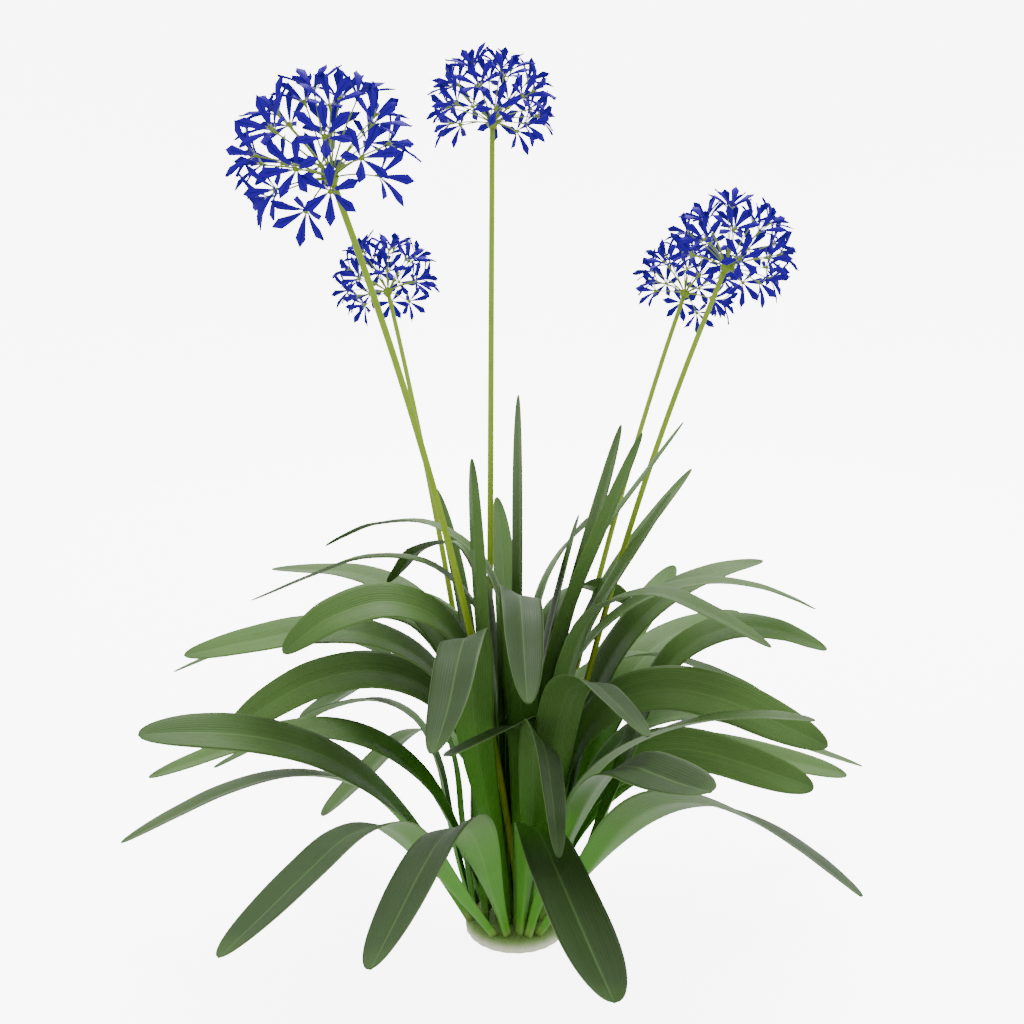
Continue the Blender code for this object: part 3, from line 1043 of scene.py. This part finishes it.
    def floret(self, shape: bmesh.types.BMesh, foot: Vector, direction: Vector, spin: float,
               draw: random.Random) -> None:
        """Six tepals set round a short tube.

        Args:
            shape: The bmesh that gets the floret.
            foot: Where the floret sits on its stalk.
            direction: Where it looks.
            spin: How far it is turned about that direction.
            draw: The head's random numbers.
        """
        maps = shape.loops.layers.uv.verify()
        side = direction.orthogonal().normalized()
        other = direction.cross(side)
        for tepal in range(self.tepals):
            angle = spin + math.tau * tepal / self.tepals
            angle += draw.uniform(-self.turn_change, self.turn_change)
            out = side * math.cos(angle) + other * math.sin(angle)
            across_way = direction.cross(out)
            stretch = 1 + draw.uniform(*self.length_changes)
            twist = draw.uniform(-self.twist_change, self.twist_change)
            grid = bmesh.ops.create_grid(shape, x_segments=2, y_segments=self.tepal_rows, size=1)
            for vert in grid["verts"]:
                across, share = vert.co.x, (vert.co.y + 1) / 2
                for loop in vert.link_loops:
                    loop[maps].uv = ((across + 1) / 2, share)
                point = self.tepal_point(across, share)
                lift = across * twist * share * self.tepal_half_width
                vert.co = (foot + out * (point.x * stretch) + across_way * point.y
                           + direction * (point.z * stretch + lift))

    def build_florets(self, material: bpy.types.Material) -> bpy.types.Object:
        """All the head's tepals.

        Args:
            material: The tepals' material.

        Returns:
            The piece.
        """
        shape = bmesh.new()
        shape.loops.layers.uv.new("tepal")
        draw = random.Random(self.plan.number + " tepals")
        for foot, direction, spin in self.florets:
            self.floret(shape, foot, direction, spin, draw)
        name = "umbel_" + self.plan.number
        piece = finish_piece(shape, name + "_tepals", name, material)
        wall = piece.modifiers.new("thickness", "SOLIDIFY")
        wall.thickness = self.tepal_thickness
        wall.offset = 0
        return piece


@dataclass
class Crown:
    """The top of the rootstock, made of blanched sheath bases set round each other.

    The profile's pairs give how far it lies inside the solid's radius, and at what height, in mm.
    """

    sides: int = 120
    lobes: int = 23
    lobe_depth: float = 0.9 * MM
    profile: tuple[Pair, ...] = ((2.4, 0), (1.2, 2), (1.2, 8), (3.6, 12))
    top_inset: float = 7.2 * MM

    def build(self, material: bpy.types.Material) -> bpy.types.Object:
        """Shape a low disc with a fluted side.

        Args:
            material: The crown's material.

        Returns:
            The crown.
        """
        low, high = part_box("crown")
        radius = (high.x - low.x) / 2
        shape = bmesh.new()
        levels = [(radius - inset * MM, height * MM) for inset, height in self.profile]
        levels.append((radius - self.top_inset, high.z))
        path = [(Vector((0, 0, height)), UP) for _, height in levels]
        sweep(shape, path, [reach for reach, _ in levels], self.sides)
        for vert in shape.verts:
            if vert.co.z < high.z - MM / 2:
                angle = math.atan2(vert.co.y, vert.co.x)
                vert.co += vert.co.normalized() * self.lobe_depth * abs(math.sin(angle * self.lobes / 2))
        bmesh.ops.recalc_face_normals(shape, faces=shape.faces)
        return finish_piece(shape, "crown_sheaths", "crown", material)


@dataclass
class Studio:
    """White sweep all round, soft light from above, and a camera at the photo's angle."""

    floor_radius: float = 4.0
    sweep_radius: float = 2.0
    wall_height: float = 7.0
    sweep_steps: int = 12
    turns: int = 64
    camera_place: tuple[float, float, float] = (-0.0044, -1.2212, 0.7631)
    camera_pitch: float = math.radians(13.52)
    focal_pixels: float = 1236
    picture_pixels: float = 1024
    sensor: float = 36.0
    key_power: float = 300
    key_size: float = 3.0
    key_place: tuple[float, float, float] = (0.3, 2.2, 3.6)
    key_aim: tuple[float, float, float] = (0, 0, 0.4)
    sky_strength: float = 1.9

    def build_floor(self) -> None:
        """Spin the sweep's profile into a floor with a wall all round."""
        shape = bmesh.new()
        profile = [Vector((0, 0, 0)), Vector((self.floor_radius, 0, 0))]
        for step in range(1, self.sweep_steps + 1):
            angle = math.pi / 2 * step / self.sweep_steps
            profile.append(Vector((self.floor_radius + math.sin(angle) * self.sweep_radius, 0,
                                   (1 - math.cos(angle)) * self.sweep_radius)))
        profile.append(Vector((self.floor_radius + self.sweep_radius, 0, self.wall_height)))
        verts = [shape.verts.new(place) for place in profile]
        edges = [shape.edges.new(pair) for pair in zip(verts, verts[1:])]
        bmesh.ops.spin(shape, geom=verts + edges, cent=(0, 0, 0), axis=(0, 0, 1), angle=math.tau,
                       steps=self.turns, use_merge=True)
        bmesh.ops.remove_doubles(shape, verts=shape.verts, dist=MM)
        bmesh.ops.recalc_face_normals(shape, faces=shape.faces)
        mesh = bpy.data.meshes.new("studio_sweep")
        shape.to_mesh(mesh)
        shape.free()
        mesh.shade_smooth()
        mesh.materials.append(FloorFinish().material())
        floor = bpy.data.objects.new("studio_sweep", mesh)
        floor.visible_diffuse = False
        floor.visible_glossy = False
        bpy.context.scene.collection.objects.link(floor)

    def build_light(self) -> None:
        """A wide soft lamp above and behind, and a white sky over the open top."""
        lamp = bpy.data.lights.new("key", "AREA")
        lamp.shape = "DISK"
        lamp.size = self.key_size
        lamp.energy = self.key_power
        holder = bpy.data.objects.new("key", lamp)
        bpy.context.scene.collection.objects.link(holder)
        holder.location = self.key_place
        aim = Vector(self.key_aim) - Vector(self.key_place)
        holder.rotation_euler = aim.to_track_quat("-Z", "Y").to_euler()
        world = bpy.data.worlds.new("studio")
        world.use_nodes = True
        sky = world.node_tree.nodes["Background"]
        sky.inputs["Color"].default_value = (1, 1, 1, 1)
        sky.inputs["Strength"].default_value = self.sky_strength
        bpy.context.scene.world = world

    def build_camera(self) -> None:
        """The camera stands where the photo was taken from."""
        lens = bpy.data.cameras.new("camera")
        lens.sensor_width = self.sensor
        lens.lens = self.sensor * self.focal_pixels / self.picture_pixels
        holder = bpy.data.objects.new("camera", lens)
        bpy.context.scene.collection.objects.link(holder)
        holder.location = self.camera_place
        holder.rotation_euler = (math.pi / 2 - self.camera_pitch, 0, 0)
        bpy.context.scene.camera = holder


def main() -> None:
    """Build every piece of the plant and the studio round it."""
    draw = random.Random(TONE_SEED)
    leaf = {side: LeafFinish().material(side) for side in BladeSide}
    stem = STEM_FINISH.material()
    stalk = STALK_FINISH.material()
    tepal = TepalFinish().material()
    for node in sorted(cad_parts):
        if node.startswith("leaf_"):
            Blade(node, draw.random()).build(leaf)
    for plan in HEADS:
        FlowerStem(plan.number).build(stem)
        head = FlowerHead(plan)
        head.build_stalks(stalk)
        head.build_florets(tepal)
    Crown().build(CrownFinish().material())
    studio = Studio()
    studio.build_floor()
    studio.build_light()
    studio.build_camera()


if __name__ == "__main__":
    main()
